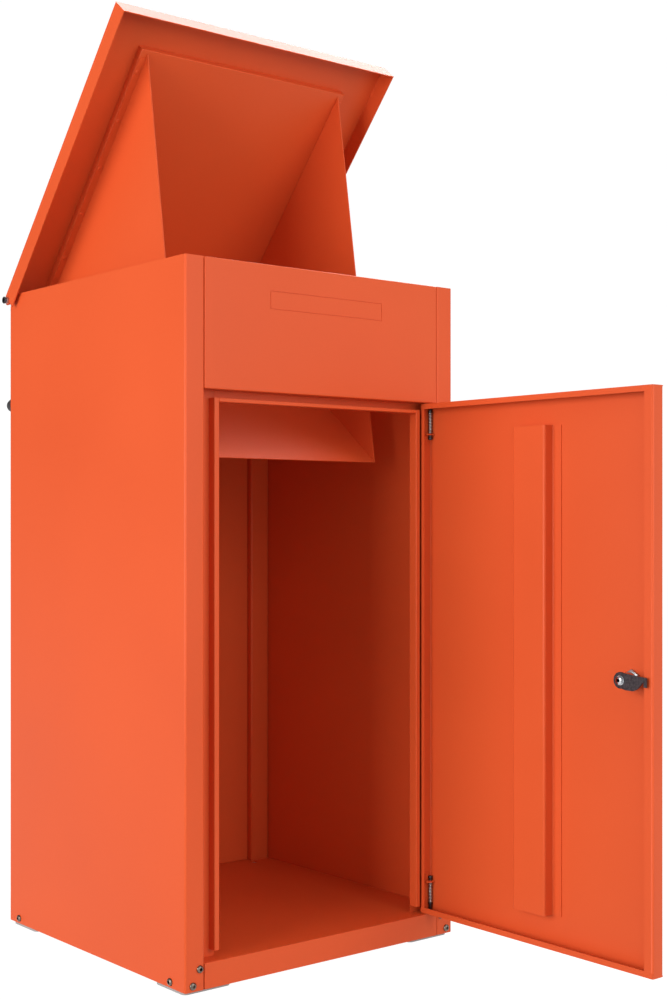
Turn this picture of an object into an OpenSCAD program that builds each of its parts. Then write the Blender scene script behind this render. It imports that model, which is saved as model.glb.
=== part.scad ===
// Parcel drop box: a sheet-steel cabinet with a front door on sprung hinge pins, and a
// rear-hinged lid that carries a tipping hopper. The door stands open and the lid is lifted.
// Origin at the middle of the footprint on the floor. +X right, +Y to the rear, +Z up.

/* [Cabinet] */
// Width over the side panels
cab_w = 500; // [460:10:600]
// Depth from the front face to the rear face
cab_d = 482; // [470:2:560]
// Height of the cabinet's top edge above the floor
cab_h = 993; // [985:1:1100]
// Width of the folded return at each side of the front
return_w = 32; // [30:1:36]
// Depth of the fold behind each front return
fold_depth = 24; // [24:1:28]
// Width of the folded return at each side of the rear
rear_return_w = 30; // [26:1:36]
// Height of the cabinet floor, which is also the top of the sill
sill_h = 40; // [36:1:60]
// Height of the top edge of the door opening
opening_top = 815; // [780:1:830]

/* [Sheet metal] */
// Thickness of every folded sheet
sheet = 1.5; // [1.2:0.1:1.6]
// Radius of each bend at the middle of the sheet
bend_r = 2.5; // [2:0.25:3]
// Gap between pieces that pass or lie beside each other
gap = 0.3; // [0.2:0.05:0.5]

/* [Door] */
// Gap between the door and the sides of its opening
door_side_gap = 2.5; // [2:0.25:3]
// Gap above and below the door
door_end_gap = 1.5; // [1:0.25:2]
// Depth of the door tray
door_depth = 22; // [20:1:22]
// Width of the lip along the free edge
free_lip = 14; // [10:1:16]
// Width of the lip along the hinge edge
hinge_lip = 7.5; // [7:0.5:8]
// Width of the lips along the top and the bottom edge
end_lip = 8; // [7:0.5:8]
// Angle at which the door stands open
door_open = 90; // [0:1:90]

/* [Lid] */
// Width of the lid
lid_w = 515.5; // [515:0.5:520]
// Length of the lid from its front flange to its rear edge
lid_len = 498; // [490:1:510]
// Depth of the lid's flanges
lid_flange = 30; // [25:1:35]
// Angle at which the lid is lifted
lid_open = 49.6; // [0:0.1:49.6]

/* [Hopper] */
// Width over the two wings
hopper_w = 368; // [340:2:380]
// Depth of the hopper below the liner
hopper_drop = 449; // [400:1:450]
// Width of the liner plate
liner_w = 390; // [384:2:400]
// Depth of the liner plate
liner_depth = 11.5; // [8:0.5:12]

/* [Lock] */
// Distance of the lock from the door's free edge
lock_inset = 48; // [46:1:52]
// Height of the lock above the floor
lock_z = 426; // [300:1:600]
// Reach of the hooked cam from the lock's axis
cam_reach = 42; // [38:1:43]

/* [Hinge pins] */
// Diameter of a hinge pin
pin_d = 4.5; // [4:0.25:4.5]
// Travel of a pin when it is drawn in
pin_travel = 10; // [6:1:10]

/* [Feet and fasteners] */
// Thickness of the foot plates
foot_h = 5; // [4:0.5:8]
// Diameter of the anchor holes through the floor and the feet
anchor_d = 11; // [9:0.5:13]
// Length of the rubber wall buffers
buffer_len = 20; // [14:1:40]

/* [Hidden] */
$fn = 48;
eps = 1;

powder_orange = "#E8622F";
zinc_grey = "#B4B0AE";
foot_grey = "#A8A4A2";
black_steel = "#26262A";
rubber_black = "#1C1C1E";
nylon_white = "#DDD6CC";
spring_steel = "#8C8F94";
lock_chrome = "#9FA3A8";

// Cabinet: half sizes, the opening's edges and the planes of the folds
half_w = cab_w / 2;
half_d = cab_d / 2;
inner_w = half_w - sheet;
jamb_x = half_w - return_w;
frame_y = -(half_d - fold_depth);
post_w = 40;
post_depth = 30;
rear_top = cab_h - 18;
back_inset = 20;

// Door frame: rims that stand forward of the frame plane, inside the door tray
rim_outer = half_w - 56.3;
rim_w = 8.4;
rim_depth = 13.3;
header_rim = 5.5;
header_top = opening_top + 20;

// Door: edges, and the hinge axis set just inside its hinge corner
door_x = jamb_x - door_side_gap;
door_low = sill_h + door_end_gap;
door_high = opening_top - door_end_gap;
pin_x = door_x - 5;
pin_y = -(half_d - 6);
door_back = -(half_d - door_depth);
stiffener_w = 60;
stiffener_flange = 15;
stiffener_depth = 19;
stiffener_margin = 43.5;

// Lid: its pivot lies near the rear top corner, just under the lid's top plane
lid_y = half_d - 6.5;
lid_z = cab_h - 9;
lid_top = lid_z + 11.5;
lid_back = lid_y - 1;
lid_front = lid_back - lid_len;
lid_wall = lid_w / 2;
ear_r = 7.5;

// Hopper, drawn with the lid shut: the liner, the wings' corners and the floor plate
liner_low = lid_top - sheet - liner_depth;
liner_front = lid_front + 54;
liner_back = lid_back - 29;
wing_front = liner_front + 5.5;
floor_top_y = liner_back - 10;
floor_low_y = floor_top_y - 7.4;
floor_low_z = liner_low - hopper_drop;
wing_x = hopper_w / 2;

// Lock: barrel through the door sheet, cam behind the frame plane
lock_x = -(door_x - lock_inset);
barrel_end = frame_y + sheet + 0.3;
cam_t = 2.2;
plug_r = 7;

// Hinge pins: collar, spring and guide, measured from the door's ends
pin_bore_d = pin_d + 0.1;
guide_from_end = 47;
spring_len = 32;
wire_d = 0.9;
spring_od = pin_d + 2 * wire_d + 0.3;
pin_reach = pin_travel - door_end_gap;

// Feet, anchors and screws
foot_w = 80;
foot_d = 70;
foot_side_inset = 3;
foot_end_inset = 7;
foot_x = half_w - foot_side_inset - foot_w / 2;
foot_y = half_d - foot_end_inset - foot_d / 2;
screw_d = 6;
head_d = 10.5;
screw_len = 12;
insert_d = 9;
buffer_x = half_w - 14;
buffer_z = cab_h - 173;
shoulder_d = 8;
rivet_d = 4;

function unit(v) = v / norm(v);

// A straight strip of sheet between two points on its middle line, along X or Y
module strip(start, stop) {
  along_x = abs(stop.x - start.x) > abs(stop.y - start.y);
  low = [min(start.x, stop.x), min(start.y, stop.y)];
  size = [abs(stop.x - start.x), abs(stop.y - start.y)];
  across = along_x ? [0, sheet] : [sheet, 0];
  translate(low - across / 2) square(size + across);
}

// A quarter bend between two strips that meet at a corner of the middle line
module quarter_bend(corner, dir_in, dir_out) {
  centre = corner - dir_in * bend_r + dir_out * bend_r;
  reach = bend_r + sheet / 2;
  side = (dir_in - dir_out) * reach;
  translate(centre) intersection() {
    difference() {
      circle(r = reach);
      circle(r = bend_r - sheet / 2);
    }
    translate([min(0, side.x), min(0, side.y)]) square([abs(side.x), abs(side.y)]);
  }
}

// Section of a folded sheet along a middle line whose corners are square
module fold(path) {
  last = len(path) - 1;
  for (i = [0 : last - 1]) {
    dir = unit(path[i + 1] - path[i]);
    start = path[i] + dir * (i == 0 ? 0 : bend_r);
    stop = path[i + 1] - dir * (i == last - 1 ? 0 : bend_r);
    strip(start, stop);
  }
  for (i = [1 : last - 1])
    quarter_bend(path[i], unit(path[i] - path[i - 1]), unit(path[i + 1] - path[i]));
}

// A block given by its two opposite corners
module block(low, high) {
  translate(low) cube(high - low);
}

// Children drawn for the left side, placed on one side or the other
module on_side(side) {
  if (side < 0) children();
  else mirror([1, 0, 0]) children();
}

module both_sides() {
  for (side = [-1, 1]) on_side(side) children();
}

// A section drawn in the Y-Z plane, given a thickness along X from x
module across_x(x, width) {
  translate([x, 0, 0]) rotate([90, 0, 90]) linear_extrude(width) children();
}

// Turns a child that points up so that it points along X or Y
module facing_left() { rotate([0, -90, 0]) children(); }
module facing_front() { rotate([90, 0, 0]) children(); }

// Screw places on the left side: on the side panel (Y, Z) and on the front return (X, Z)
side_screws = [[-half_d + 35, foot_h + 8], [half_d - 31, foot_h + 8]];
front_screws = [[-half_w + 24, foot_h + 29], [-half_w + 12.5, foot_h + 8]];

// Places something that points outwards at each screw of the left side
module at_side_screws(x) {
  for (p = side_screws) translate([x, p.x, p.y]) facing_left() children();
}

module at_front_screws(y) {
  for (p = front_screws) translate([p.x, y, p.y]) facing_front() children();
}

module screw_holes(d) {
  at_side_screws(-inner_w + 10) cylinder(h = 20, d = d);
  at_front_screws(-half_d + 10) cylinder(h = 20, d = d);
}

// --- Cabinet -------------------------------------------------------------------------

// Side panel: one sheet with a rear return, the side wall, a front return and its fold
module side_shell() {
  wall_x = -(half_w - sheet / 2);
  front_y = -(half_d - sheet / 2);
  rear_y = half_d - sheet / 2;
  fold_x = -(jamb_x + sheet / 2);
  bend_out = bend_r + sheet / 2;
  difference() {
    translate([0, 0, foot_h]) linear_extrude(cab_h - foot_h)
      fold([[-(half_w - rear_return_w), rear_y], [wall_x, rear_y], [wall_x, front_y],
            [fold_x, front_y], [fold_x, frame_y]]);
    block([-half_w - eps, half_d - bend_out, rear_top],
          [-(half_w - rear_return_w) + eps, half_d + eps, cab_h + eps]);
    screw_holes(screw_d + 0.5);
    translate([-inner_w + eps, lid_y, lid_z]) facing_left()
      cylinder(h = sheet + 2 * eps, d = screw_d + 0.2);
    translate([-buffer_x, half_d + eps, buffer_z]) facing_front()
      cylinder(h = sheet + 2 * eps, d = screw_d + 0.2);
  }
}

module side_panel_left() color(powder_orange) side_shell();
module side_panel_right() color(powder_orange) on_side(1) side_shell();

// Upper front panel: a shallow tray between the returns, with a shallow name field.
// Its lower return carries the bore of the upper hinge pin.
module upper_front_panel() {
  x = jamb_x - gap;
  plate_w = 210;
  plate_h = 26;
  plate_z = cab_h - 49;
  groove = 1.2;
  color(powder_orange) difference() {
    union() {
      block([-x, -half_d, opening_top], [x, -half_d + sheet, cab_h]);
      block([-x, -half_d, opening_top], [x, frame_y, opening_top + sheet]);
      block([-x, -half_d, cab_h - sheet], [x, -half_d + 20, cab_h]);
      both_sides() block([-x, -half_d, opening_top], [-x + sheet, -half_d + 15, cab_h]);
    }
    difference() {
      block([-plate_w / 2, -half_d - eps, plate_z - plate_h / 2],
            [plate_w / 2, -half_d + 0.8, plate_z + plate_h / 2]);
      block([-plate_w / 2 + groove, -half_d - 2 * eps, plate_z - plate_h / 2 + groove],
            [plate_w / 2 - groove, -half_d + eps, plate_z + plate_h / 2 - groove]);
    }
    translate([pin_x, pin_y, opening_top - eps]) cylinder(h = sheet + 2 * eps, d = pin_bore_d);
  }
}

// Floor pan: floor, sill flange, side flanges with front tabs, rear flange and bottom returns
module floor_pan() {
  wide = inner_w - gap;
  narrow = jamb_x - gap;
  tab_y = -half_d + sheet + 0.2;
  rear_y = half_d - sheet - gap;
  bottom_return = 25;
  color(powder_orange) difference() {
    union() {
      block([-wide, frame_y + sheet, sill_h - sheet], [wide, rear_y, sill_h]);
      block([-narrow, -half_d, sill_h - sheet], [narrow, frame_y + sheet, sill_h]);
      block([-narrow, -half_d, foot_h], [narrow, -half_d + sheet, sill_h]);
      block([-wide, rear_y - sheet, foot_h], [wide, rear_y, sill_h]);
      both_sides() {
        block([-wide, tab_y, foot_h], [-wide + sheet, rear_y, sill_h - sheet]);
        block([-wide, tab_y, foot_h], [-(jamb_x + sheet + gap), tab_y + sheet, sill_h - sheet]);
        block([-wide, tab_y, foot_h], [-wide + bottom_return, rear_y, foot_h + sheet]);
        block([-narrow, -half_d, foot_h], [-narrow + sheet, frame_y + sheet, sill_h]);
      }
    }
    both_sides() {
      screw_holes(insert_d + 0.2);
      for (p = [[-wide, tab_y], [-wide, rear_y], [-(jamb_x + sheet + gap), tab_y]])
        translate(p) cylinder(h = 2 * sill_h, r = 1.4, $fn = 4);
    }
    for (x = [-foot_x, foot_x], y = [-foot_y, foot_y])
      translate([x, y, sill_h - sheet - eps]) cylinder(h = sheet + 2 * eps, d = anchor_d);
    translate([pin_x, pin_y, sill_h - sheet - eps]) cylinder(h = sheet + 2 * eps, d = pin_bore_d);
  }
}

// Back panel: set in between the rear posts, with flanges towards the rear
module back_panel() {
  x = half_w - post_w - gap;
  y = half_d - back_inset;
  flange = 18;
  color(powder_orange) difference() {
    union() {
      block([-x, y, sill_h], [x, y + sheet, rear_top]);
      both_sides() block([-x, y, sill_h], [-x + sheet, y + flange, rear_top]);
      for (z = [sill_h, rear_top - sheet]) block([-x, y, z], [x, y + flange, z + sheet]);
    }
    both_sides() at_back_rivets() translate([0, 0, -eps])
      cylinder(h = 3 * eps + sheet, d = rivet_d + 0.2);
  }
}

// Rivet places on the left post's inner leg, pointing away from the post
module at_back_rivets() {
  for (k = [0 : 3])
    translate([-(half_w - post_w), half_d - 10, 120 + k * 250]) rotate([0, 90, 0]) children();
}

// Rear post: a channel open to the rear, closed off by the side panel's rear return
module post() {
  x_out = -(inner_w - gap);
  x_in = -(half_w - post_w);
  y_front = half_d - post_depth;
  y_rear = half_d - sheet - gap;
  difference() {
    translate([0, 0, sill_h]) linear_extrude(rear_top - sill_h)
      fold([[x_out + sheet / 2, y_rear - bend_r], [x_out + sheet / 2, y_front + sheet / 2],
            [x_in - sheet / 2, y_front + sheet / 2], [x_in - sheet / 2, y_rear]]);
    at_back_rivets() translate([0, 0, -sheet - eps]) cylinder(h = sheet + 2 * eps, d = rivet_d + 0.2);
  }
}

module rear_post_left() color(powder_orange) post();
module rear_post_right() color(powder_orange) on_side(1) post();

// Door jamb: a strip behind the front return with a raised rim, the door's stop
module jamb() {
  rim_low = door_low + end_lip + 1;
  rim_high = door_high - end_lip - 1;
  y_rim = frame_y - rim_depth;
  x_out = -rim_outer;
  x_in = -(rim_outer - rim_w);
  block([-(half_w - 8), frame_y, sill_h], [x_in, frame_y + sheet, header_top]);
  block([x_out, y_rim, rim_low], [x_out + sheet, frame_y, rim_high]);
  block([x_in - sheet, y_rim, rim_low], [x_in, frame_y, rim_high]);
  block([x_out, y_rim, rim_low], [x_in, y_rim + sheet, rim_high]);
}

module door_jamb_left() color(powder_orange) jamb();
module door_jamb_right() color(powder_orange) on_side(1) jamb();

// Door header: the frame's top strip between the jambs, with the same raised rim
module door_header() {
  x = rim_outer - rim_w;
  high = door_high - end_lip - 1;
  low = high - header_rim;
  y_rim = frame_y - rim_depth;
  color(powder_orange) {
    block([-x, frame_y, low], [x, frame_y + sheet, header_top]);
    block([-x, y_rim, low], [x, frame_y, low + sheet]);
    block([-x, y_rim, high - sheet], [x, frame_y, high]);
    block([-x, y_rim, low], [x, y_rim + sheet, high]);
  }
}

// Foot plate with rounded corners and a hole for a ground anchor
module foot_plate() {
  corner = 8;
  difference() {
    linear_extrude(foot_h) union() {
      square([foot_w, foot_d - 2 * corner], center = true);
      square([foot_w - 2 * corner, foot_d], center = true);
      for (x = [-1, 1], y = [-1, 1])
        translate([x * (foot_w / 2 - corner), y * (foot_d / 2 - corner)]) circle(r = corner);
    }
    translate([0, 0, -eps]) cylinder(h = foot_h + 2 * eps, d = anchor_d);
  }
}

module at_corners() {
  for (x = [-foot_x, foot_x], y = [-foot_y, foot_y]) translate([x, y, 0]) children();
}

module foot_plates() color(foot_grey) at_corners() foot_plate();

// Sleeves that carry the pull of the ground anchors from the floor to the feet
module anchor_sleeves() {
  color(zinc_grey) at_corners() translate([0, 0, foot_h]) difference() {
    cylinder(h = sill_h - sheet - foot_h, d = anchor_d + 8);
    translate([0, 0, -eps]) cylinder(h = sill_h + eps, d = anchor_d);
  }
}

// Button-head screw: head above the origin plane, shank below it
module button_screw() {
  difference() {
    union() {
      cylinder(h = 1, d = head_d);
      translate([0, 0, 1]) cylinder(h = 2.3, d1 = head_d, d2 = 6.8);
      translate([0, 0, -screw_len]) cylinder(h = screw_len, d = screw_d);
    }
    translate([0, 0, 1.3]) cylinder(h = 3, d = 4.6, $fn = 6);
  }
}

module cabinet_screws() {
  color(black_steel) both_sides() {
    at_side_screws(-half_w) button_screw();
    at_front_screws(-half_d) button_screw();
  }
}

// Rivet nut: a threaded sleeve set in the floor pan's flange, upset behind the sheet
module rivet_nut() {
  difference() {
    union() {
      translate([0, 0, -11]) cylinder(h = 11, d = insert_d);
      translate([0, 0, -sheet - 3]) cylinder(h = 3, d = insert_d + 3);
    }
    translate([0, 0, -12]) cylinder(h = 13, d = screw_d + 0.1);
  }
}

module rivet_nuts() {
  color(zinc_grey) both_sides() {
    at_side_screws(-(inner_w - gap)) rivet_nut();
    at_front_screws(-half_d + sheet + 0.2) rivet_nut();
  }
}

// Blind rivet: a low round head above the origin plane, a shank and its upset end below it
module blind_rivet(grip) {
  cylinder(h = 1.2, d1 = 2 * rivet_d, d2 = rivet_d);
  translate([0, 0, -grip]) cylinder(h = grip, d = rivet_d);
  translate([0, 0, -grip - 2]) cylinder(h = 2, d = 1.4 * rivet_d);
}

module back_rivets() {
  color(zinc_grey) both_sides() at_back_rivets()
    translate([0, 0, gap + sheet]) blind_rivet(2 * sheet + gap);
}

// Conical rubber buffers that keep the cabinet and its lid off the wall
module wall_buffers() {
  base = 4;
  color(rubber_black) both_sides() translate([-buffer_x, half_d, buffer_z]) rotate([-90, 0, 0]) {
    cylinder(h = base, d = 28);
    translate([0, 0, base]) cylinder(h = buffer_len - base, d1 = 28, d2 = 18);
  }
}

// Studs bonded into the buffers, with their nuts inside the rear return
module buffer_studs() {
  color(zinc_grey) both_sides() translate([-buffer_x, half_d, buffer_z]) facing_front() {
    cylinder(h = 10, d = screw_d);
    translate([0, 0, sheet]) cylinder(h = 5, d = 11.5, $fn = 6);
  }
}

// Shoulder bolts that the lid's side flanges turn on
module lid_pivot_bolts() {
  head_x = lid_wall + 5;
  color(black_steel) both_sides() translate([-half_w, lid_y, lid_z]) facing_left() {
    cylinder(h = head_x - half_w, d = shoulder_d);
    translate([0, 0, head_x - half_w]) cylinder(h = 1.4, d = 11);
    translate([0, 0, head_x - half_w + 1.4]) cylinder(h = 0.6, d1 = 11, d2 = 9.8);
    translate([0, 0, -screw_len]) cylinder(h = screw_len, d = screw_d);
  }
}

module ring(length, outer, inner) {
  difference() {
    cylinder(h = length, d = outer);
    translate([0, 0, -eps]) cylinder(h = length + 2 * eps, d = inner);
  }
}

// Nylon spacers between the cabinet and the lid's flanges
module lid_pivot_spacers() {
  color(nylon_white) both_sides() translate([-half_w, lid_y, lid_z]) facing_left()
    ring(lid_wall - sheet - half_w - gap, 13, shoulder_d + 0.2);
}

// Thick washers between the lid's flanges and the bolt heads
module lid_pivot_washers() {
  color(zinc_grey) both_sides() translate([-(lid_wall + gap), lid_y, lid_z]) facing_left()
    ring(3.2, 10, shoulder_d + 0.2);
}

module lid_pivot_nuts() {
  color(zinc_grey) both_sides() translate([-inner_w, lid_y, lid_z]) rotate([0, 90, 0]) difference() {
    cylinder(h = 5, d = 11.5, $fn = 6);
    translate([0, 0, -eps]) cylinder(h = 5 + 2 * eps, d = screw_d + 0.1);
  }
}

// --- Lid and hopper ------------------------------------------------------------------

// Turns the lid's pieces from shut to lifted
module lift_lid() {
  translate([0, lid_y, lid_z]) rotate([-lid_open, 0, 0]) translate([0, -lid_y, -lid_z]) children();
}

// Lid: a cap with side and front flanges, and an ear round each pivot hole
module lid() {
  x = lid_wall - sheet / 2;
  low = lid_top - lid_flange;
  bore_d = shoulder_d + 0.1;
  color(powder_orange) lift_lid() difference() {
    union() {
      translate([0, lid_back, 0]) facing_front() linear_extrude(lid_len)
        fold([[-x, low], [-x, lid_top - sheet / 2], [x, lid_top - sheet / 2], [x, low]]);
      block([-x, lid_front, low], [x, lid_front + sheet, lid_top - sheet / 2]);
      both_sides() translate([-lid_wall + sheet, lid_y, lid_z]) facing_left()
        cylinder(h = sheet, r = ear_r);
    }
    both_sides() translate([-lid_wall + sheet + eps, lid_y, lid_z]) facing_left()
      cylinder(h = sheet + 2 * eps, d = bore_d);
  }
}

// Hopper liner: a shallow inverted tray under the lid
module hopper_liner() {
  x = liner_w / 2;
  top = lid_top - sheet;
  color(powder_orange) lift_lid() difference() {
    block([-x, liner_front, liner_low], [x, liner_back, top]);
    block([-x + sheet, liner_front + sheet, liner_low + sheet],
          [x - sheet, liner_back - sheet, top + eps]);
    hopper_rivet_holes();
  }
}

// Hopper wing: a triangular cheek with a flange along the liner
module wing() {
  flange = liner_w / 2 - wing_x - 0.5;
  across_x(-wing_x, sheet)
    polygon([[wing_front, liner_low], [floor_low_y, floor_low_z], [floor_top_y, liner_low]]);
  difference() {
    block([-wing_x - flange, wing_front + 8, liner_low - sheet], [-wing_x, floor_top_y - 8, liner_low]);
    hopper_rivet_holes();
  }
}

module hopper_wing_left() color(powder_orange) lift_lid() wing();
module hopper_wing_right() color(powder_orange) lift_lid() on_side(1) wing();

// Hopper floor: the plate across the wings' rear edges, which bars the way when lifted
module hopper_floor() {
  color(powder_orange) lift_lid() {
    across_x(-wing_x, hopper_w)
      polygon([[floor_top_y, liner_low], [floor_top_y + sheet, liner_low],
               [floor_low_y + sheet, floor_low_z], [floor_low_y, floor_low_z]]);
    block([-wing_x, floor_top_y, liner_low - sheet], [wing_x, floor_top_y + 9, liner_low]);
  }
}

// Rivet places on both wings' flanges, pointing down
module at_hopper_rivets() {
  x = (wing_x + liner_w / 2) / 2;
  for (k = [0 : 4], side = [-1, 1])
    translate([side * x, wing_front + 30 + k * 80, liner_low - sheet]) mirror([0, 0, 1]) children();
}

module hopper_rivet_holes() {
  at_hopper_rivets() translate([0, 0, -2 * sheet - eps])
    cylinder(h = 2 * sheet + 2 * eps, d = rivet_d + 0.2);
}

module hopper_rivets() {
  color(powder_orange) lift_lid() at_hopper_rivets() blind_rivet(2 * sheet);
}

// --- Door ----------------------------------------------------------------------------

// Turns the door's pieces from shut to open
module swing_door() {
  translate([pin_x, pin_y, 0]) rotate([0, 0, door_open]) translate([-pin_x, -pin_y, 0]) children();
}

// Door: a tray with folded lips all round, bored for the hinge pins and the lock
module door_panel() {
  x = door_x - sheet / 2;
  y_face = -half_d + sheet / 2;
  y_lip = door_back - sheet / 2;
  color(powder_orange) swing_door() difference() {
    union() {
      translate([0, 0, door_low]) linear_extrude(door_high - door_low)
        fold([[-(door_x - free_lip), y_lip], [-x, y_lip], [-x, y_face],
              [x, y_face], [x, y_lip], [door_x - hinge_lip, y_lip]]);
      for (end = [door_low, door_high - sheet])
        block([-x, -half_d, end], [x, door_back, end + sheet]);
      for (end = [door_low, door_high - end_lip])
        block([-x, door_back - sheet, end], [x, door_back, end + end_lip]);
    }
    for (end = [door_low, door_high - sheet])
      translate([pin_x, pin_y, end - eps]) cylinder(h = sheet + 2 * eps, d = pin_bore_d);
    translate([lock_x, -half_d + 2 * eps + sheet, lock_z]) facing_front() cylinder(h = 6, d = 19);
  }
}

// Door stiffener: a hat section welded down the middle of the door
module door_stiffener() {
  x = stiffener_w / 2;
  y = -half_d + sheet;
  low = door_low + stiffener_margin;
  high = door_high - stiffener_margin;
  color(powder_orange) swing_door() {
    translate([0, 0, low]) linear_extrude(high - low)
      fold([[-x - stiffener_flange, y + sheet / 2], [-x + sheet / 2, y + sheet / 2],
            [-x + sheet / 2, y + stiffener_depth - sheet / 2],
            [x - sheet / 2, y + stiffener_depth - sheet / 2],
            [x - sheet / 2, y + sheet / 2], [x + stiffener_flange, y + sheet / 2]]);
    for (end = [low, high - sheet])
      block([-x + sheet, y, end], [x - sheet, y + stiffener_depth - sheet, end + sheet]);
  }
}

// Mirrors a piece drawn at the upper hinge down to the lower one
module at_hinge(end) {
  mid = (door_low + door_high) / 2;
  if (end > 0) children();
  else translate([0, 0, 2 * mid]) mirror([0, 0, 1]) children();
}

// Guides: small angles welded in the door's hinge corner, which hold the pins' inner ends
module pin_guides() {
  z = door_high - guide_from_end;
  x_wall = door_x - sheet;
  color(powder_orange) swing_door() for (end = [-1, 1]) at_hinge(end) difference() {
    union() {
      block([pin_x - 6, -half_d + sheet + bend_r, z], [x_wall, pin_y + 9, z + 2]);
      block([x_wall - sheet, -half_d + sheet + 6, z - 12], [x_wall, pin_y + 9, z]);
    }
    translate([pin_x, pin_y, z - eps]) cylinder(h = 2 + 2 * eps, d = pin_bore_d);
    translate([pin_x, pin_y, z - 13]) cylinder(h = 13, d = spring_od + 0.8);
  }
}

// Hinge pin: passes the guide, the spring, the door's end wall and the frame; the collar
// takes the spring's push, and the knob at the inner end is the finger grip
module hinge_pin() {
  guide = door_high - guide_from_end;
  top = door_high + pin_reach;
  tail = guide - 6;
  collar = guide + 2 + spring_len;
  translate([pin_x, pin_y, 0]) {
    translate([0, 0, tail]) cylinder(h = top - tail - 1, d = pin_d);
    translate([0, 0, top - 1]) cylinder(h = 1, d1 = pin_d, d2 = pin_d - 1.5);
    translate([0, 0, collar]) cylinder(h = 1.5, d = spring_od + 0.2);
    translate([0, 0, tail - 1]) cylinder(h = 4, d = spring_od);
  }
}

module hinge_pin_upper() color(black_steel) swing_door() hinge_pin();
module hinge_pin_lower() color(black_steel) swing_door() at_hinge(-1) hinge_pin();

// Coil spring: a round wire swept along a helix, its end turns flat on the collar and guide
module coil(length) {
  turns = 14;
  per_turn = 14;
  sides = 8;
  steps = turns * per_turn;
  r = (spring_od - wire_d) / 2;
  rise = length - wire_d;
  ring_points = [for (i = [0 : steps], k = [0 : sides - 1])
    let (a = 360 * i / per_turn, b = 360 * k / sides, w = wire_d / 2)
    [(r + w * cos(b)) * cos(a), (r + w * cos(b)) * sin(a), wire_d / 2 + rise * i / steps + w * sin(b)]];
  skin = [for (i = [0 : steps - 1], k = [0 : sides - 1])
    let (n = (k + 1) % sides)
    [i * sides + k, (i + 1) * sides + k, (i + 1) * sides + n, i * sides + n]];
  first = [for (k = [0 : sides - 1]) k];
  last = [for (k = [sides - 1 : -1 : 0]) steps * sides + k];
  polyhedron(points = ring_points, faces = concat(skin, [first, last]), convexity = 10);
}

module hinge_spring() {
  slack = 0.2;
  translate([pin_x, pin_y, door_high - guide_from_end + 2 + slack / 2]) coil(spring_len - slack);
}

module hinge_spring_upper() color(spring_steel) swing_door() hinge_spring();
module hinge_spring_lower() color(spring_steel) swing_door() at_hinge(-1) hinge_spring();

// --- Lock ----------------------------------------------------------------------------

// Places lock pieces on the lock's axis: +Z of the child points out of the door's back
module at_lock(y) {
  swing_door() translate([lock_x, y, lock_z]) rotate([-90, 0, 0]) children();
}

// Lock barrel: a round housing with a rim on the door's front, bored for the plug
module lock_barrel() {
  color(lock_chrome) at_lock(-half_d) difference() {
    union() {
      translate([0, 0, -3]) cylinder(h = 3, d1 = 20, d2 = 23);
      cylinder(h = barrel_end + half_d - 0.2, d = 18.8);
    }
    translate([0, 0, -4]) cylinder(h = 40, r = plug_r + 0.05);
  }
}

module lock_nut() {
  color(zinc_grey) at_lock(-half_d + sheet) difference() {
    cylinder(h = 5, d = 26, $fn = 6);
    translate([0, 0, -eps]) cylinder(h = 7, d = 18.9);
  }
}

// Lock plug: turns in the barrel; the keyway is cut in its front face
module lock_plug() {
  color(lock_chrome) at_lock(-half_d) difference() {
    translate([0, 0, -3.2]) cylinder(h = barrel_end + half_d + 3.2, r = plug_r);
    block([-0.8, -4.5, -4], [0.8, 4.5, 2]);
    translate([0, 0, barrel_end + half_d - 10]) cylinder(h = 11, d = 4);
  }
}

// Hooked cam: a flat arm from the lock's axis to the door's free edge, hooked downwards
module lock_cam() {
  hub_r = 11;
  color(black_steel) at_lock(barrel_end) difference() {
    linear_extrude(cam_t) union() {
      circle(r = hub_r);
      polygon([[-2, -11], [-2, 10.8], [-8, 12.4], [-20, 12.6], [-27, 10], [-33, 4], [-37, -0.5],
               [-cam_reach + 4.5, -0.5], [-cam_reach + 4.5, 6], [-cam_reach, 6.6],
               [-cam_reach, -6.2], [-4, -10]]);
    }
    translate([0, 0, -eps]) cylinder(h = cam_t + 2 * eps, d = 4.4);
  }
}

module cam_screw() {
  color(lock_chrome) at_lock(barrel_end + cam_t) difference() {
    union() {
      cylinder(h = 1.2, d = 13);
      translate([0, 0, 1.2]) cylinder(h = 3.2, d = 9, $fn = 6);
      translate([0, 0, -cam_t - 8]) cylinder(h = cam_t + 8, d = 3.9);
    }
    translate([0, 0, 3.4]) block([-3.2, -0.6, 0], [3.2, 0.6, 2]);
  }
}

side_panel_left();
side_panel_right();
upper_front_panel();
floor_pan();
back_panel();
rear_post_left();
rear_post_right();
door_jamb_left();
door_jamb_right();
door_header();
foot_plates();
anchor_sleeves();
cabinet_screws();
rivet_nuts();
back_rivets();
wall_buffers();
buffer_studs();
lid_pivot_bolts();
lid_pivot_spacers();
lid_pivot_washers();
lid_pivot_nuts();
lid();
hopper_liner();
hopper_wing_left();
hopper_wing_right();
hopper_floor();
hopper_rivets();
door_panel();
door_stiffener();
pin_guides();
lock_barrel();
lock_nut();
hinge_spring_upper();
hinge_spring_lower();
hinge_pin_upper();
hinge_pin_lower();
lock_plug();
lock_cam();
cam_screw();
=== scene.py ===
import math

import bmesh
import bpy
from mathutils import Matrix, Vector


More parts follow.
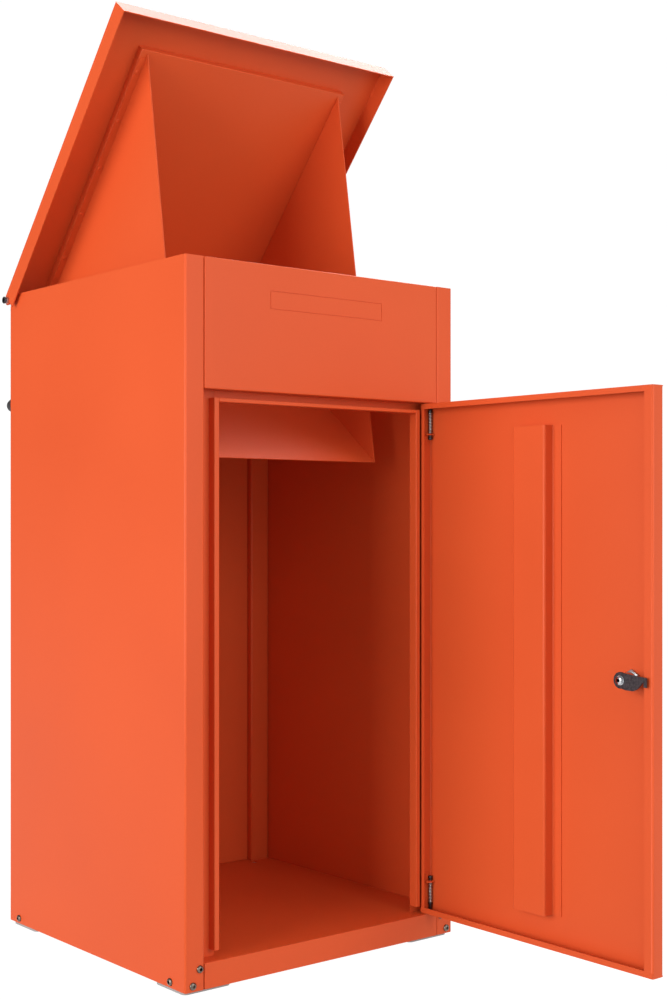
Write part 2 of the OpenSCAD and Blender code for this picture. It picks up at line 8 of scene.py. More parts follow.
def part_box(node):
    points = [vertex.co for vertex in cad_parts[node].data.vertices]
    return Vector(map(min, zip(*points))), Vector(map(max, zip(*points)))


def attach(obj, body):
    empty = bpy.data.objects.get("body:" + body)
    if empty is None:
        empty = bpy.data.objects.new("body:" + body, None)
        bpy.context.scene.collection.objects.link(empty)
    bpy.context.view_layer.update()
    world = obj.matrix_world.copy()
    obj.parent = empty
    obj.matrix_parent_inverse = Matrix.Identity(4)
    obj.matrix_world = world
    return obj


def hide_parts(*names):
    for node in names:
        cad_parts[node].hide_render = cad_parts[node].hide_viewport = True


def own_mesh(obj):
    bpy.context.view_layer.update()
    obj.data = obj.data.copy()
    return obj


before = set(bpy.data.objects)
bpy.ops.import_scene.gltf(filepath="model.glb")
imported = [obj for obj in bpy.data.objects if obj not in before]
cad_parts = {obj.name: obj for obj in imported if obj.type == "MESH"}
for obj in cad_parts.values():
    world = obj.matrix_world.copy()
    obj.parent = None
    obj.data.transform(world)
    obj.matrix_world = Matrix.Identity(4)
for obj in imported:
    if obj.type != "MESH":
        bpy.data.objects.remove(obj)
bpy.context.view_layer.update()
MM = 0.001      # a millimetre in metres, for sizes that go into a piece
IN_MM = 1000    # millimetres in a metre, for sizes read off the CAD part

# --- Camera ---------------------------------------------------------------------------
# A level lens 0.64 m above the floor, left of the box and in front of it. It looks along
# the floor, so that every upright of the cabinet stays upright.
lens = bpy.data.cameras.new("camera")
lens.lens = 54.53
lens.sensor_width = 36.0
lens.shift_x = 0.074
lens.shift_y = 0.0203
lens.clip_start = 0.05
camera = bpy.data.objects.new("camera", lens)
camera.location = (-1.414, -1.895, 0.637)
heading = math.atan2(0.6151, 0.7883)    # about 38 degrees to the right of straight ahead
camera.rotation_euler = (math.radians(90), 0, -heading)
bpy.context.scene.collection.objects.link(camera)
bpy.context.scene.camera = camera
bpy.context.scene.view_settings.view_transform = "Standard"


# --- Studio: floor, room and lamps ----------------------------------------------------
# A plain white sweep under the box in a white room. One broad lamp stands to the left,
# one behind the lid to the right, and a soft one in front, a little to the right.
def srgb(code):
    """A colour written as #RRGGBB, as the linear colour that a shader wants."""
    parts = [int(code[k:k + 2], 16) / 255 for k in (1, 3, 5)]
    return [c / 12.92 if c <= 0.04045 else ((c + 0.055) / 1.055) ** 2.4 for c in parts] + [1.0]


def add_node(tree, kind, settings=(), values=(), links=()):
    """Adds one shader node with its settings, its input values and its links."""
    node = tree.nodes.new("ShaderNode" + kind)
    for key, value in dict(settings).items():
        setattr(node, key, value)
    for key, value in dict(values).items():
        node.inputs[key].default_value = value
    for key, socket in dict(links).items():
        tree.links.new(socket, node.inputs[key])
    return node


def new_material(name, colour, roughness, metallic=0.0, ior=1.5):
    """A Principled material with its even values set on the shader itself."""
    material = bpy.data.materials.new(name)
    material.use_nodes = True
    shader = material.node_tree.nodes["Principled BSDF"]
    shader.inputs["Base Color"].default_value = srgb(colour)
    shader.inputs["Roughness"].default_value = roughness
    shader.inputs["Metallic"].default_value = metallic
    if not metallic:
        shader.inputs["IOR"].default_value = ior
    return material, material.node_tree, shader


# Painted studio floor: matt white emulsion, rolled on, so it has a soft nap and no gloss.
# It glows evenly over a dark base, so it looks plain white all over and takes no shadow.
floor_paint, tree, shader = new_material("matt_white_emulsion", "#303030", 0.9)
shader.inputs["Emission Color"].default_value = srgb("#FFFFFF")
shader.inputs["Emission Strength"].default_value = 1.0
place = add_node(tree, "TexCoord").outputs["Object"]
nap = add_node(tree, "TexNoise", values={"Scale": 400.0, "Detail": 3.0}, links={"Vector": place})
rolled = add_node(tree, "Bump", values={"Strength": 0.05, "Distance": 0.0002},
                  links={"Height": nap.outputs["Fac"]})
tree.links.new(rolled.outputs["Normal"], shader.inputs["Normal"])

bm = bmesh.new()
bmesh.ops.create_grid(bm, x_segments=8, y_segments=8, size=14.0)
mesh = bpy.data.meshes.new("studio_floor")
bm.to_mesh(mesh)
bm.free()
mesh.materials.append(floor_paint)
studio_floor = bpy.data.objects.new("studio_floor", mesh)
bpy.context.scene.collection.objects.link(studio_floor)
studio_floor.visible_diffuse = False

room = bpy.data.worlds.new("white_room")
bpy.context.scene.world = room
room.use_nodes = True
tree = room.node_tree
sky = tree.nodes["Background"]
# The room lights the box mostly from in front and above, and only a little from behind.
way = add_node(tree, "SeparateXYZ", links={"Vector": add_node(tree, "TexCoord").outputs["Generated"]})
depth = add_node(tree, "MapRange", values={"From Min": -1.0, "To Min": 0.88, "To Max": 0.05},
                 links={"Value": way.outputs["Y"]})
height = add_node(tree, "MapRange", values={"From Min": -1.0, "To Min": 0.6, "To Max": 1.2},
                  links={"Value": way.outputs["Z"]})
glow = add_node(tree, "Math", {"operation": "MULTIPLY"},
                links={0: depth.outputs["Result"], 1: height.outputs["Result"]})
tree.links.new(glow.outputs["Value"], sky.inputs["Strength"])
sky.inputs["Color"].default_value = (1, 1, 1, 1)
# Seen directly, the room is one even white.
seen = add_node(tree, "Background", values={"Color": (1, 1, 1, 1), "Strength": 1.02})
path = add_node(tree, "LightPath")
choose = add_node(tree, "MixShader", links={"Fac": path.outputs["Is Camera Ray"]})
tree.links.new(sky.outputs["Background"], choose.inputs[1])
tree.links.new(seen.outputs["Background"], choose.inputs[2])
tree.links.new(choose.outputs["Shader"], tree.nodes["World Output"].inputs["Surface"])


def lamp(name, place, aim, size, power):
    """A square softbox that faces a point."""
    light = bpy.data.lights.new(name, "AREA")
    light.shape = "SQUARE"
    light.size = size
    light.energy = power
    obj = bpy.data.objects.new(name, light)
    obj.location = place
    obj.rotation_euler = (Vector(aim) - Vector(place)).to_track_quat("-Z", "Y").to_euler()
    bpy.context.scene.collection.objects.link(obj)


lamp("left_softbox", (-3.9, -0.3, 0.9), (0, 0, 0.6), 2.8, 172)
lamp("lid_softbox", (1.8, 1.3, 3.6), (0, 0, 1.3), 3.2, 215)
lamp("front_softbox", (0.7, -4.3, 1.9), (0, 0, 0.5), 3.2, 84)


# --- Cabinet sides --------------------------------------------------------------------
# Each side is one sheet of 1.5 mm steel, folded on a press brake round the front corner
# and the rear corner, then degreased and powder-coated with all the other sheet parts.
def powder_coat(name, colour, deep):
    """Polyester powder, sprayed and baked: even colour, a low gloss and faint orange peel."""
    material, tree, shader = new_material(name, colour, 0.4)
    shader.inputs["Specular IOR Level"].default_value = 0.19
    place = add_node(tree, "TexCoord").outputs["Object"]
    # Film thickness drifts over about 0.3 m, which deepens the colour a little.
    drift = add_node(tree, "TexNoise", values={"Scale": 3.5, "Detail": 2.0}, links={"Vector": place})
    # Baked grains are 0.2 mm. Drawn at 1.5 mm, since finer than that would not show.
    grain = add_node(tree, "TexNoise", values={"Scale": 650.0, "Detail": 2.0}, links={"Vector": place})
    both = add_node(tree, "Math", {"operation": "MULTIPLY_ADD"},
                    values={1: 0.35}, links={0: grain.outputs["Fac"], 2: drift.outputs["Fac"]})
    tint = add_node(tree, "ValToRGB", links={"Fac": both.outputs["Value"]})
    tint.color_ramp.elements[0].position = 0.35
    tint.color_ramp.elements[0].color = srgb(deep)
    tint.color_ramp.elements[1].position = 0.95
    tint.color_ramp.elements[1].color = srgb(colour)
    tree.links.new(tint.outputs["Color"], shader.inputs["Base Color"])
    gloss = add_node(tree, "MapRange", values={"To Min": 0.36, "To Max": 0.46},
                     links={"Value": drift.outputs["Fac"]})
    tree.links.new(gloss.outputs["Result"], shader.inputs["Roughness"])
    # Orange peel: waves about 5 mm long and some microns high.
    peel = add_node(tree, "TexNoise", values={"Scale": 200.0, "Detail": 1.0}, links={"Vector": place})
    waves = add_node(tree, "Bump", values={"Strength": 0.12, "Distance": 0.0004},
                     links={"Height": peel.outputs["Fac"]})
    fine = add_node(tree, "Bump", values={"Strength": 0.08, "Distance": 0.0001},
                    links={"Height": grain.outputs["Fac"], "Normal": waves.outputs["Normal"]})
    tree.links.new(fine.outputs["Normal"], shader.inputs["Normal"])
    return material


coat = powder_coat("polyester_powder_coat", "#D8562A", "#D15127")


def finished(bm, name, body, material, nodes=(), crease=38, flat=0.0):
    """Makes a mesh a piece of the object, on its body: faces out, smooth up to its creases,
    and plane on every face wider than flat, in mm."""
    bmesh.ops.recalc_face_normals(bm, faces=bm.faces)
    one_plane = 0.02    # radians between faces that still lie in one plane
    rounded = []
    for face in bm.faces:
        width = 2 * face.calc_area() / max(face.calc_perimeter(), MM)
        level = any(e.calc_face_angle(1) < one_plane for e in face.edges)
        rounded.append(not flat or (width < flat * MM and not level))
    mesh = bpy.data.meshes.new(name)
    bm.to_mesh(mesh)
    bm.free()
    mesh.set_sharp_from_angle(angle=math.radians(crease))
    mesh.polygons.foreach_set("use_smooth", rounded)
    mesh.materials.append(material)
    obj = bpy.data.objects.new(name, mesh)
    bpy.context.scene.collection.objects.link(obj)
    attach(obj, body)
    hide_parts(*nodes)
    return obj


def goes_on(loop, reach):
    """Whether a face carries on for a reach, in mm, behind the middle of one of its edges."""
    along = loop.link_loop_next.vert.co - loop.vert.co
    inward = loop.face.normal.cross(along).normalized()
    middle = (loop.link_loop_next.vert.co + loop.vert.co) / 2
    return bmesh.geometry.intersect_face_point(loop.face, middle + inward * reach * MM)


def cad_mesh(node):
    """A CAD node's mesh, with its triangles' shared corners joined."""
    bm = bmesh.new()
    bm.from_mesh(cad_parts[node].data)
    bmesh.ops.remove_doubles(bm, verts=bm.verts, dist=0.01 * MM)
    return bm


def square_edges(bm):
    """The edges where two faces meet squarely, or nearly so."""
    return [e for e in bm.edges if len(e.link_faces) == 2 and e.calc_face_angle() > math.radians(50)]


def eased(bm, edges, radius, segments):
    """Rounds edges by a radius in mm."""
    bmesh.ops.bevel(bm, geom=edges, offset=radius * MM, offset_type="OFFSET", segments=segments,
                    profile=0.5, affect="EDGES", material=-1, clamp_overlap=True)


def sheet_part(node, body, fold=1.8, rim=0.35, material=coat):
    """A sheet part on its CAD shape: square folds get a bend, and cut edges lose their burr."""
    bm = cad_mesh(node)
    bmesh.ops.dissolve_limit(bm, angle_limit=math.radians(1), verts=bm.verts, edges=bm.edges)
    shortest_bend, narrowest_flange = 15, 3
    bends = [e for e in square_edges(bm) if e.is_convex and e.calc_length() > shortest_bend * MM
             and all(goes_on(loop, narrowest_flange) for loop in e.link_loops)]
    if fold and bends:
        eased(bm, bends, fold, 4)
    eased(bm, square_edges(bm), rim, 2)
    bmesh.ops.dissolve_degenerate(bm, dist=0.001 * MM, edges=bm.edges)
    finished(bm, node + "_coated", body, material, [node], flat=1.0)


sheet_part("side_panel_left", "cabinet")
sheet_part("side_panel_right", "cabinet")


# --- Cabinet front, floor and back ----------------------------------------------------
# Folded trays of the same sheet close the box above the door, below it and behind. They
# are spot-welded or riveted between the sides, and coated as one body.
sheet_part("upper_front_panel", "cabinet", rim=0.2)
for node in ("floor_pan", "back_panel", "rear_post_left", "rear_post_right"):
    sheet_part(node, "cabinet")


# --- Door frame -----------------------------------------------------------------------
# Jambs and a header welded behind the front returns. Their raised rim is roll-formed and
# stands inside the door's tray, so that rain runs down outside it.
for node in ("door_jamb_left", "door_jamb_right", "door_header"):
    sheet_part(node, "cabinet", fold=1.2)


# --- Feet -----------------------------------------------------------------------------
# Four plates moulded in light grey polypropylene keep the steel off the ground. A zinc-
# plated sleeve over each carries the anchor bolt's pull up to the floor pan.
grey_plastic, tree, shader = new_material("moulded_grey_polypropylene", "#9F9896", 0.5, ior=1.49)
place = add_node(tree, "TexCoord").outputs["Object"]
# Spark-eroded mould texture of about 0.4 mm, drawn at 1 mm so that it shows.
spark = add_node(tree, "TexVoronoi", values={"Scale": 1000.0}, links={"Vector": place})
cloudy = add_node(tree, "TexNoise", values={"Scale": 30.0, "Detail": 3.0}, links={"Vector": place})
shade = add_node(tree, "ValToRGB", links={"Fac": cloudy.outputs["Fac"]})
shade.color_ramp.elements[0].color = srgb("#968F8D")
shade.color_ramp.elements[1].color = srgb("#A9A2A0")
tree.links.new(shade.outputs["Color"], shader.inputs["Base Color"])
dimples = add_node(tree, "Bump", values={"Strength": 0.2, "Distance": 0.0001},
                   links={"Height": spark.outputs["Distance"]})
tree.links.new(dimples.outputs["Normal"], shader.inputs["Normal"])
sheet_part("foot_plates", "cabinet", fold=0, rim=0.9, material=grey_plastic)


def bright_metal(name, colour, dull, low, high, size):
    """Plated or drawn steel: cloudy at one size in mm, with faint scratches round about."""
    material, tree, shader = new_material(name, colour, (low + high) / 2, metallic=1.0)
    place = add_node(tree, "TexCoord").outputs["Object"]
    cloud = add_node(tree, "TexNoise", values={"Scale": 1 / (size * MM), "Detail": 4.0},
                     links={"Vector": place})
    mix = add_node(tree, "ValToRGB", links={"Fac": cloud.outputs["Fac"]})
    mix.color_ramp.elements[0].position = 0.3
    mix.color_ramp.elements[0].color = srgb(dull)
    mix.color_ramp.elements[1].position = 0.7
    mix.color_ramp.elements[1].color = srgb(colour)
    tree.links.new(mix.outputs["Color"], shader.inputs["Base Color"])
    polish = add_node(tree, "MapRange", values={"To Min": low, "To Max": high},
                      links={"Value": cloud.outputs["Fac"]})
    tree.links.new(polish.outputs["Result"], shader.inputs["Roughness"])
    stretch = add_node(tree, "Mapping", values={"Scale": (1, 1, 6)}, links={"Vector": place})
    lines = add_node(tree, "TexNoise", values={"Scale": 900.0, "Detail": 2.0},
                     links={"Vector": stretch.outputs["Vector"]})
    marks = add_node(tree, "Bump", values={"Strength": 0.1, "Distance": 0.00005},
                     links={"Height": lines.outputs["Fac"]})
    tree.links.new(marks.outputs["Normal"], shader.inputs["Normal"])
    return material


# Bright zinc is plated in a barrel, so it is cloudy with a bluish cast and a soft shine.
zinc = bright_metal("bright_zinc_plate", "#C3C7CB", "#A9ACAE", 0.25, 0.42, 4)


def solids(node):
    """The lowest and highest corner of each separate solid of a CAD node."""
    bm = cad_mesh(node)
    left = set(bm.verts)
    found = []
    while left:
        reached = [left.pop()]
        for v in reached:
            near = [e.other_vert(v) for e in v.link_edges]
            fresh = [w for w in near if w in left]
            left.difference_update(fresh)
            reached.extend(fresh)
        corners = [[pick(v.co[k] for v in reached) for k in range(3)] for pick in (min, max)]
        found.append((Vector(corners[0]), Vector(corners[1])))
    bm.free()
    return found


def rings(sides, *steps):
    """Rings with one number of sides, from pairs of height and radius in mm."""
    return [(height, radius, sides) for height, radius in steps]


def turned(bm, place, profile, bored=False):
    """Adds a closed shape of rings (height, radius, sides) in mm along an axis. With bored,
    the last ring joins the first, as in a washer."""
    loops = []
    for height, radius, sides in profile:
        made = bmesh.ops.create_circle(bm, cap_ends=False, radius=radius * MM, segments=sides,
                                       matrix=place @ Matrix.Translation((0, 0, height * MM)))
        loops.append(list({e for v in made["verts"] for e in v.link_edges}))
    pairs = list(zip(loops, loops[1:])) + ([(loops[-1], loops[0])] if bored else [])
    for a, b in pairs:
        bmesh.ops.bridge_loops(bm, edges=a + b)
    if not bored:
        for ring in (loops[0], loops[-1]):
            bmesh.ops.edgeloop_fill(bm, edges=ring)


def pointing(point, direction):
    """A place whose up axis points along a direction."""
    turn = Vector(direction).to_track_quat("Z", "Y").to_matrix().to_4x4()
    return Matrix.Translation(point) @ turn


bm = bmesh.new()
for low, high in solids("anchor_sleeves"):
    middle = (low + high) / 2
    r, h = (high.x - low.x) * IN_MM / 2, (high.z - low.z) * IN_MM
    wall, chamfer = 4, 0.5
    inner = r - wall + chamfer
    turned(bm, Matrix.Translation((middle.x, middle.y, low.z)),
           rings(40, (chamfer, r), (h - chamfer, r), (h, r - chamfer), (h, inner),
                 (h - chamfer, r - wall), (chamfer, r - wall), (0, inner), (0, r - chamfer)), bored=True)
finished(bm, "anchor_sleeves_plated", "cabinet", zinc, ["anchor_sleeves"])


# --- Screws and rivet nuts at the bottom corners --------------------------------------
# M6 button-head screws with a hexagon socket hold the sides to the floor pan. They are
# black-oxidised steel and run into zinc-plated rivet nuts set in the pan's flanges.
# Black oxide is a conversion film in hot salt, so the steel still shines darkly through.
black_oxide = bright_metal("black_oxide_steel", "#524D50", "#383538", 0.3, 0.45, 3)
# The screws' heads are drawn lighter and brownish grey: a painted reflection of the orange sheet round
# them, put into the metal's own colour.
oxide_tinted_by_painted_reflection = bright_metal("black_oxide_steel_painted_orange_reflection", "#82776F", "#61584F", 0.25, 0.4, 3)


def facing(middle, k):
    """The way out of the cabinet along one of its axes, from a point in its skin."""
    way = Vector((0, 0, 0))
    way[k] = math.copysign(1, middle[k])
    return way


def outward(low, high):
    """The middle of a fastener in the cabinet's skin, which way it points and half its length."""
    middle, size = (low + high) / 2, high - low
    k = 0 if size.x > size.y else 1
    return middle, facing(middle, k), size[k] / 2


def button_screw(bm, place, length=12.0):
    """Domed head on the place's plane, hexagon socket, shank with a thread's ridges."""
    lead, half_pitch, crest, root = 0.6, 0.5, 3.0, 2.72
    count = int((length - 2 * lead) / half_pitch)
    thread = [(-length + lead + half_pitch * k, crest if k % 2 else root) for k in range(count)]
    dome = rings(28, (-length, 2.4), *thread, (0, crest), (0, 4.9), (0.25, 5.2), (0.9, 5.25),
                 (1.7, 5.0), (2.4, 4.45), (2.95, 3.6), (3.25, 2.75))
    socket = rings(6, (3.25, 2.45), (3.1, 2.3), (1.3, 2.3))
    turned(bm, place, dome + socket)


screw_head = 3.3
bm = bmesh.new()
for low, high in solids("cabinet_screws"):
    middle, way, half = outward(low, high)
    button_screw(bm, pointing(middle + way * (half - screw_head * MM), way))
finished(bm, "button_head_screws", "cabinet", oxide_tinted_by_painted_reflection, ["cabinet_screws"], crease=30)

bm = bmesh.new()
for low, high in solids("rivet_nuts"):
    middle = (low + high) / 2
    k = min(range(3), key=lambda a: (high - low)[a])
    way = facing(middle, k)
    turned(bm, pointing(middle + way * (high - low)[k] / 2, way),
           rings(32, (-0.05, 4.4), (-1.5, 4.5), (-1.6, 5.8), (-3.0, 6.0), (-4.4, 5.7), (-4.8, 4.5),
                 (-10.6, 4.5), (-11, 4.1), (-11, 3.5), (-10.6, 3.15), (-0.4, 3.15), (-0.05, 3.4)),
           bored=True)
finished(bm, "rivet_nuts_plated", "cabinet", zinc, ["rivet_nuts"])


# --- Rivets in the back panel ---------------------------------------------------------
# Blind rivets join the back panel to the posts. The head is domed, with the dimple where
# the mandrel snapped off, and the tail is upset behind the sheets.
rivet_head, rivet_tail = 1.2, 2


def blind_rivet(bm, place, grip):
    """A set rivet: its head on the place's plane, its tail behind sheets as thick as grip."""
    turned(bm, place,
           rings(20, (-grip - rivet_tail, 1.6), (-grip - 1.8, 2.5), (-grip - 0.8, 2.8), (-grip, 2.2),
                 (-grip, 2.0), (0, 2.0), (0, 3.8), (0.25, 4.0), (0.7, 3.5), (1.05, 2.5),
                 (rivet_head, 1.5), (1.15, 1.1), (0.7, 1.0)))


bm = bmesh.new()
for low, high in solids("back_rivets"):
    middle = (low + high) / 2
    way = Vector((-math.copysign(1, middle.x), 0, 0))
    tip = middle + way * ((high.x - low.x) / 2 - rivet_head * MM)
    blind_rivet(bm, pointing(tip, way), (high.x - low.x) * IN_MM - (rivet_head + rivet_tail))
finished(bm, "back_rivets_set", "cabinet", zinc, ["back_rivets"])


# --- Wall buffers ---------------------------------------------------------------------
# Conical buffers of black natural rubber, moulded round the head of a zinc-plated stud.
# They keep the lid clear of the wall; a nut inside the side panel's return holds each.
rubber, tree, shader = new_material("moulded_black_rubber", "#1D1D1F", 0.62, ior=1.52)
place = add_node(tree, "TexCoord").outputs["Object"]
bloom = add_node(tree, "TexNoise", values={"Scale": 90.0, "Detail": 4.0}, links={"Vector": place})
dusty = add_node(tree, "ValToRGB", links={"Fac": bloom.outputs["Fac"]})
dusty.color_ramp.elements[0].color = srgb("#19191B")
dusty.color_ramp.elements[1].color = srgb("#2B2A2B")
tree.links.new(dusty.outputs["Color"], shader.inputs["Base Color"])
skin = add_node(tree, "Bump", values={"Strength": 0.15, "Distance": 0.0001},
                links={"Height": bloom.outputs["Fac"]})
tree.links.new(skin.outputs["Normal"], shader.inputs["Normal"])

bm = bmesh.new()
for low, high in solids("wall_buffers"):
    middle, length = (low + high) / 2, (high.y - low.y) * IN_MM
    seat = pointing(Vector((middle.x, low.y, middle.z)), (0, 1, 0))
    turned(bm, seat,
           rings(40, (0, 13.6), (0.5, 14), (3.4, 14), (4.1, 13.6), (5.0, 13.3), (length - 11, 12.1),
                 (length - 10.3, 11.5), (length - 9.4, 11.5), (length - 8.7, 11.6), (length - 1.6, 9.4),
                 (length - 0.5, 8.7), (length, 7.6), (length, 3.0), (length - 0.8, 2.6)))
finished(bm, "wall_buffers_moulded", "cabinet", rubber, ["wall_buffers"], crease=50)


def hexagon_nut(bm, place, flats, bore, thickness):
    """A chamfered hexagon nut standing on the place's plane."""
    corner = flats / math.sqrt(3)
    cut = flats / 2 - 0.1
    chamfer, mouth = 0.5, bore + 0.4
    turned(bm, place,
           rings(6, (0, mouth), (0, cut), (chamfer, corner), (thickness - chamfer, corner),
                 (thickness, cut), (thickness, mouth), (thickness - chamfer, bore), (chamfer, bore)),
           bored=True)


def threaded(bm, place, start, stop, radius):
    """A threaded rod drawn as ridges 1 mm apart, about the pitch of an M6 thread."""
    lead, half_pitch, root, end = 0.5, 0.5, radius - 0.3, radius - 0.6
    count = int((stop - start - 2 * lead) / half_pitch)
    ridges = [(start + lead + half_pitch * k, radius if k % 2 else root) for k in range(count)]
    turned(bm, place, rings(28, (start, end), *ridges, (stop, end)))


# M6 nuts on the studs and on the lid's pivot bolts, both drawn a little under 10 mm across.
nut_flats, nut_height = 9.9, 5.0
bm = bmesh.new()
for low, high in solids("buffer_studs"):
    middle = (low + high) / 2
    seat = pointing(Vector((middle.x, high.y, middle.z)), (0, -1, 0))
    threaded(bm, seat, 0, (high.y - low.y) * IN_MM, 3.0)
    sheet = 1.5
    hexagon_nut(bm, seat @ Matrix.Translation((0, 0, sheet * MM)), nut_flats, 3.0, nut_height)
finished(bm, "buffer_studs_plated", "cabinet", zinc, ["buffer_studs"], crease=30)


# --- Lid pivots -----------------------------------------------------------------------
# A black shoulder bolt through each flange of the lid, with a nylon spacer inside it, a
# thick washer under its thin head and a zinc-plated nut inside the cabinet.
nylon, tree, shader = new_material("natural_nylon", "#DDD6CC", 0.42, ior=1.53)
shader.inputs["Subsurface Weight"].default_value = 0.15
shader.inputs["Subsurface Radius"].default_value = (0.002, 0.0018, 0.0014)
place = add_node(tree, "TexCoord").outputs["Object"]
flow = add_node(tree, "TexNoise", values={"Scale": 260.0, "Detail": 3.0}, links={"Vector": place})
milky = add_node(tree, "ValToRGB", links={"Fac": flow.outputs["Fac"]})
milky.color_ramp.elements[0].color = srgb("#D3CBBF")
milky.color_ramp.elements[1].color = srgb("#E6E0D7")
tree.links.new(milky.outputs["Color"], shader.inputs["Base Color"])


def ring_part(node, name, material, chamfer=0.25):
    """Round parts bored right through, one on each side of the cabinet."""
    bm = bmesh.new()
    for low, high in solids(node):
        middle, size = (low + high) / 2, (high - low) * IN_MM
        out, bore, h = size.y / 2, 4.1, size.x
        turned(bm, pointing(Vector((low.x, middle.y, middle.z)), (1, 0, 0)),
               rings(36, (chamfer, out), (h - chamfer, out), (h, out - chamfer), (h, bore + chamfer),
                     (h - chamfer, bore), (chamfer, bore), (0, bore + chamfer), (0, out - chamfer)),
               bored=True)
    finished(bm, name, "cabinet", material, [node])


ring_part("lid_pivot_spacers", "pivot_spacers_nylon", nylon)
ring_part("lid_pivot_washers", "pivot_washers_plated", zinc, chamfer=0.15)

bm = bmesh.new()
for low, high in solids("lid_pivot_bolts"):
    middle, way, half = outward(low, high)
    tip = middle + way * half
    whole, thread, head = 2 * half * IN_MM, 12, 2
    shank = rings(32, (-whole, 2.4), (-whole + 0.6, 3.0), (-whole + thread, 3.0), (-whole + thread, 3.9),
                  (-head, 4.0), (-head, 5.3), (-head + 0.2, 5.5), (-0.7, 5.5), (-0.35, 5.3),
                  (-0.1, 4.9), (0, 4.3))
    turned(bm, pointing(tip, way), shank + rings(6, (0, 2.5), (-1.4, 2.3)))
finished(bm, "pivot_bolts_black", "cabinet", black_oxide, ["lid_pivot_bolts"], crease=30)

bm = bmesh.new()
for low, high in solids("lid_pivot_nuts"):
    middle = (low + high) / 2
    inward = -math.copysign(1, middle.x)
    face = high.x if middle.x > 0 else low.x
    hexagon_nut(bm, pointing(Vector((face, middle.y, middle.z)), (inward, 0, 0)),
                nut_flats, 3.05, nut_height)
finished(bm, "pivot_nuts_plated", "cabinet", zinc, ["lid_pivot_nuts"], crease=30)


# --- Lid and hopper -------------------------------------------------------------------
# The lid is a folded cap. Under it hangs the hopper: a liner tray, two triangular cheeks
# and a floor plate, which tips a parcel in and bars a hand while the lid is up.
for node in ("lid", "hopper_liner", "hopper_wing_left", "hopper_wing_right", "hopper_floor"):
    sheet_part(node, "lid_body", fold=1.6)

lid_lift = 49.6                        # degrees that the lid stands open
grip = 3.0                             # two sheets of 1.5 mm
rivet_length = 6.2
down = (Matrix.Rotation(math.radians(-lid_lift), 4, "X") @ Vector((0, 0, -1))).normalized()
bm = bmesh.new()
for low, high in solids("hopper_rivets"):
    middle = (low + high) / 2
    blind_rivet(bm, pointing(middle + down * (0.5 * rivet_length - rivet_head) * MM, down), grip)
finished(bm, "hopper_rivets_coated", "lid_body", coat, ["hopper_rivets"])


# --- Door -----------------------------------------------------------------------------
# A folded tray with a lip all round, stiffened by a hat section that is spot-welded down
# its middle. Small angles welded in its hinge corner guide the hinge pins.
sheet_part("door_panel", "door", fold=1.6)
sheet_part("door_stiffener", "door", fold=1.6)
sheet_part("pin_guides", "door", fold=0, rim=0.3)


# --- Hinge pins and springs -----------------------------------------------------------
# Black-oxidised pins slide through the door's ends into the frame. A coil of drawn spring
# wire between guide and collar pushes each out; the knob is pulled to free the door.
drawn_wire = bright_metal("drawn_spring_wire", "#EDEBE7", "#D2CFCB", 0.28, 0.4, 2)
for end, node, spring, body in ((1, "hinge_pin_upper", "hinge_spring_upper", "upper_pin"),
                                (-1, "hinge_pin_lower", "hinge_spring_lower", "lower_pin")):
    low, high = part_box(node)
    middle = (low + high) / 2
    tip = high.z if end > 0 else low.z
    length = (high.z - low.z) * IN_MM
    shaft, knob = 2.25, (high.x - low.x) * IN_MM / 2
    s_low, s_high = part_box(spring)
    coil_end = s_high.z if end > 0 else s_low.z
    collar = -abs(tip - coil_end) * IN_MM + 0.1
    bm = bmesh.new()
    turned(bm, pointing(Vector((middle.x, middle.y, tip)), (0, 0, end)),
           rings(28, (0, shaft - 0.75), (-1, shaft), (collar + 1.5, shaft), (collar + 1.5, knob - 0.3),
                 (collar + 1.2, knob), (collar + 0.3, knob), (collar, knob - 0.3), (collar, shaft),
                 (-length + 4, shaft), (-length + 4, 2.9), (-length + 3.4, 3.3), (-length + 0.8, 3.3),
                 (-length + 0.2, 2.9), (-length, 2.2)))
    finished(bm, node + "_black", body, black_oxide, [node])

    wire, turns, steps = 0.45, 14, 20
    reach = (s_high.x - s_low.x) * IN_MM / 2 - wire
    rise = (s_high.z - s_low.z) * IN_MM - 2 * wire
    foot = Vector((middle.x, middle.y, s_low.z + wire * MM))
    bm = bmesh.new()
    section = bmesh.ops.create_circle(
        bm, cap_ends=False, radius=wire * MM, segments=10,
        matrix=Matrix.Translation(foot + Vector((reach * MM, 0, 0))) @ Matrix.Rotation(math.pi / 2, 4, "X"))
    start = list({e for v in section["verts"] for e in v.link_edges})
    wound = bmesh.ops.spin(bm, geom=section["verts"] + start, cent=foot, axis=(0, 0, 1),
                           dvec=(0, 0, rise * MM / (turns * steps)), angle=2 * math.pi * turns,
                           steps=turns * steps, use_merge=False, use_duplicate=False)
    stop = [e for e in wound["geom_last"] if isinstance(e, bmesh.types.BMEdge)]
    bmesh.ops.edgeloop_fill(bm, edges=[e for e in start if e.is_valid])
    bmesh.ops.edgeloop_fill(bm, edges=stop)
    coil = finished(bm, spring + "_wound", "door", drawn_wire, [spring])
    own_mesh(coil)


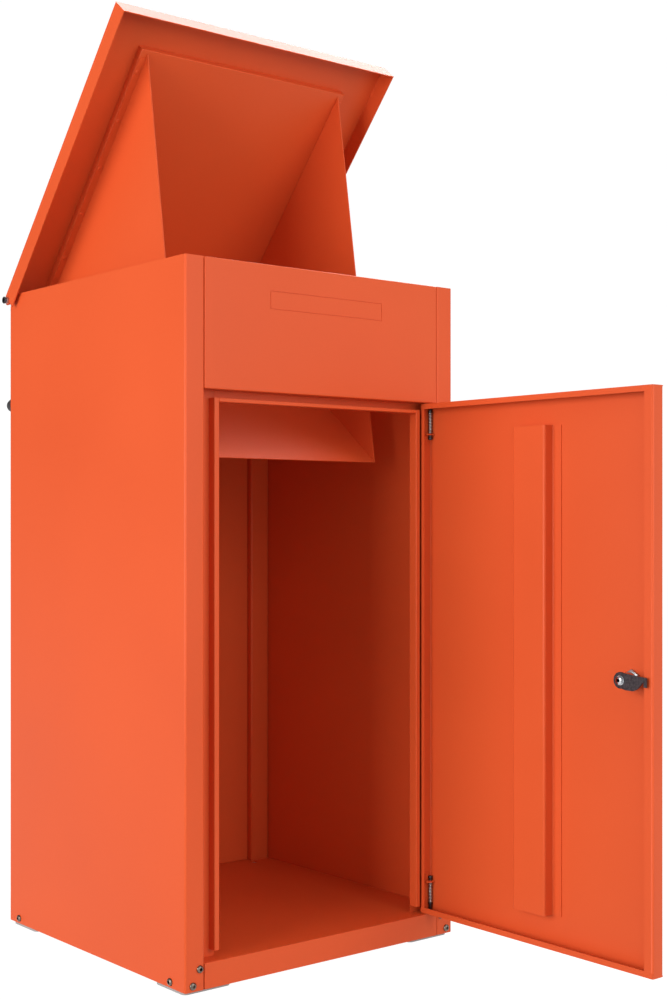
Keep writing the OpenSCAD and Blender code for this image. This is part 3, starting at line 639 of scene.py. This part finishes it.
# --- Lock -----------------------------------------------------------------------------
# A cam lock: die-cast barrel and plug in nickel-chrome, held by a zinc-plated hexagon
# nut. The hooked cam is stamped from black-oxidised steel and screwed to the plug.
chrome = bright_metal("nickel_chrome_plate", "#CFD0D3", "#BFC0C4", 0.1, 0.2, 6)
low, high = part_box("lock_barrel")
middle = (low + high) / 2
axis = pointing(Vector((high.x, middle.y, middle.z)), (-1, 0, 0))
depth = (high.x - low.x) * IN_MM
bm = bmesh.new()
turned(bm, axis,
       rings(48, (0.3, 9.7), (0, 9.3), (0, 7.5), (0.4, 7.05), (depth - 0.3, 7.05), (depth, 7.3),
             (depth, 9.1), (depth - 0.4, 9.4), (3.0, 9.4), (3.0, 11.3), (2.6, 11.5), (2.0, 11.3),
             (0.9, 10.5)), bored=True)
finished(bm, "lock_barrel_plated", "door", chrome, ["lock_barrel"])

low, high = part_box("lock_nut")
flats = (high.y - low.y) * IN_MM * math.sqrt(3) / 2
bm = bmesh.new()
hexagon_nut(bm, pointing(Vector((high.x, middle.y, middle.z)), (-1, 0, 0)),
            flats, 9.45, (high.x - low.x) * IN_MM)
finished(bm, "lock_nut_plated", "door", zinc, ["lock_nut"], crease=30)

sheet_part("lock_plug", "lock_core", fold=0, rim=0.25, material=chrome)
sheet_part("lock_cam", "lock_core", fold=0, rim=0.45, material=black_oxide)

low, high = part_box("cam_screw")
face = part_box("lock_cam")[0].x
head, shank = (face - low.x) * IN_MM, (high.x - face) * IN_MM
washer = rings(32, (-shank, 1.6), (-shank + 0.4, 1.95), (0, 1.95), (0, 6.2), (0.3, 6.5), (0.9, 6.5),
               (1.2, 6.2))
hexagon = rings(6, (1.2, 5.4), (1.5, 5.8), (head - 0.9, 5.8), (head - 0.2, 5.0), (head, 4.2))
recess = rings(24, (head, 2.4), (head - 1.2, 1.8))
bm = bmesh.new()
turned(bm, pointing(Vector((face, middle.y, middle.z)), (-1, 0, 0)), washer + hexagon + recess)
finished(bm, "cam_screw_plated", "lock_core", chrome, ["cam_screw"], crease=30)
